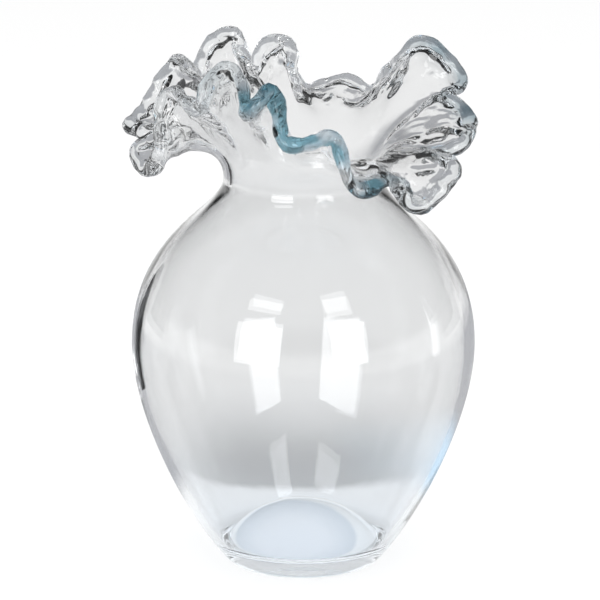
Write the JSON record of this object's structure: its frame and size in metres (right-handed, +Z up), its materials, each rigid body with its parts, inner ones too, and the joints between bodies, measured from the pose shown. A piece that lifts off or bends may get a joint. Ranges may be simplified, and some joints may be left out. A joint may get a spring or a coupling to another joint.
{
  "type": "ruffled glass vase",
  "caption": "Clear glass vase with a full ovoid body, a small flat foot, a short narrow neck and a wide flared mouth pinched into deep ruffles, edged with a thick aqua glass lip.",
  "frame": {"origin": "centre of the flat foot, on the surface that the vase stands on", "axes": "+Z up through the neck, -Y towards the side that the picture shows, +X to its right"},
  "size_m": [0.1421, 0.14, 0.216],
  "materials": {
    "clear_glass": "clear blown glass, polished by the flame, with a faint blue cast where it is thick and a ground underside",
    "aqua_glass": "transparent aqua glass thread laid round the lip, strongest along the front"
  },
  "bodies": {
    "root": {"blown_vessel": "clear_glass", "lip_wrap": "aqua_glass"}
  },
  "joints": []
}
